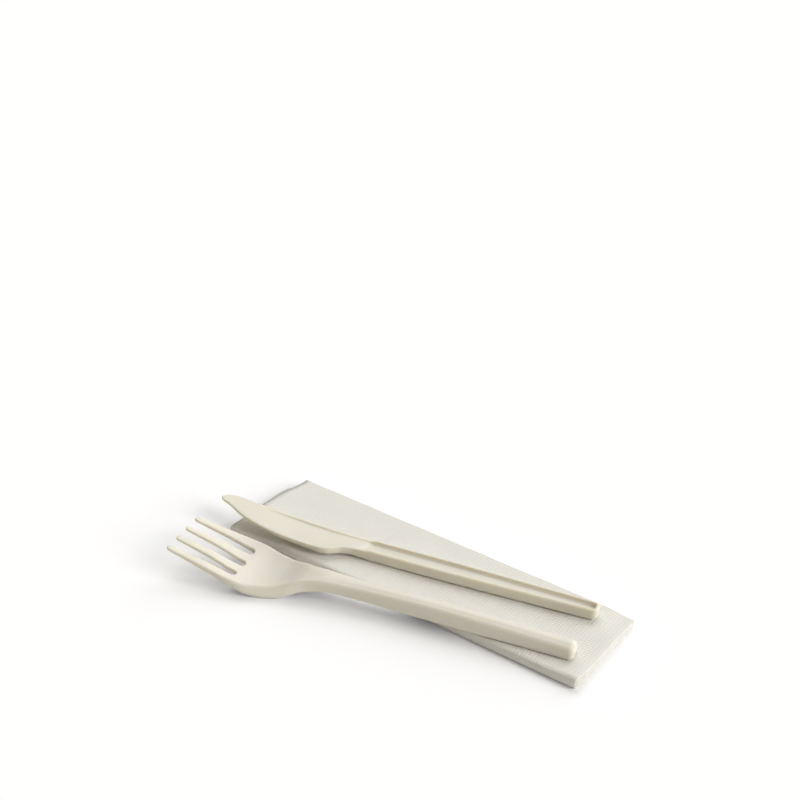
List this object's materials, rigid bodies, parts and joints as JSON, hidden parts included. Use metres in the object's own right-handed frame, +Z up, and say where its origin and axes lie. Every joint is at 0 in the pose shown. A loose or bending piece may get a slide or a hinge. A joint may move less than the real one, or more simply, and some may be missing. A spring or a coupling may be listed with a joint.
{
  "type": "plastic cutlery and napkin set",
  "caption": "Moulded cream plastic fork and knife laid side by side on a paper napkin folded to a flat strip.",
  "frame": {"origin": "middle of the napkin's underside, on the surface that the set lies on", "axes": "+X along the napkin towards the handle ends, +Y across it from the fork's side to the knife's side, +Z up"},
  "size_m": [0.1741, 0.0862, 0.0123],
  "materials": {
    "fork_plastic": "satin cream moulded plastic",
    "knife_plastic": "satin cream moulded plastic",
    "tissue": "soft embossed tissue"
  },
  "bodies": {
    "root": {"fork": "fork_plastic", "knife": "knife_plastic", "napkin": "tissue"}
  },
  "joints": []
}
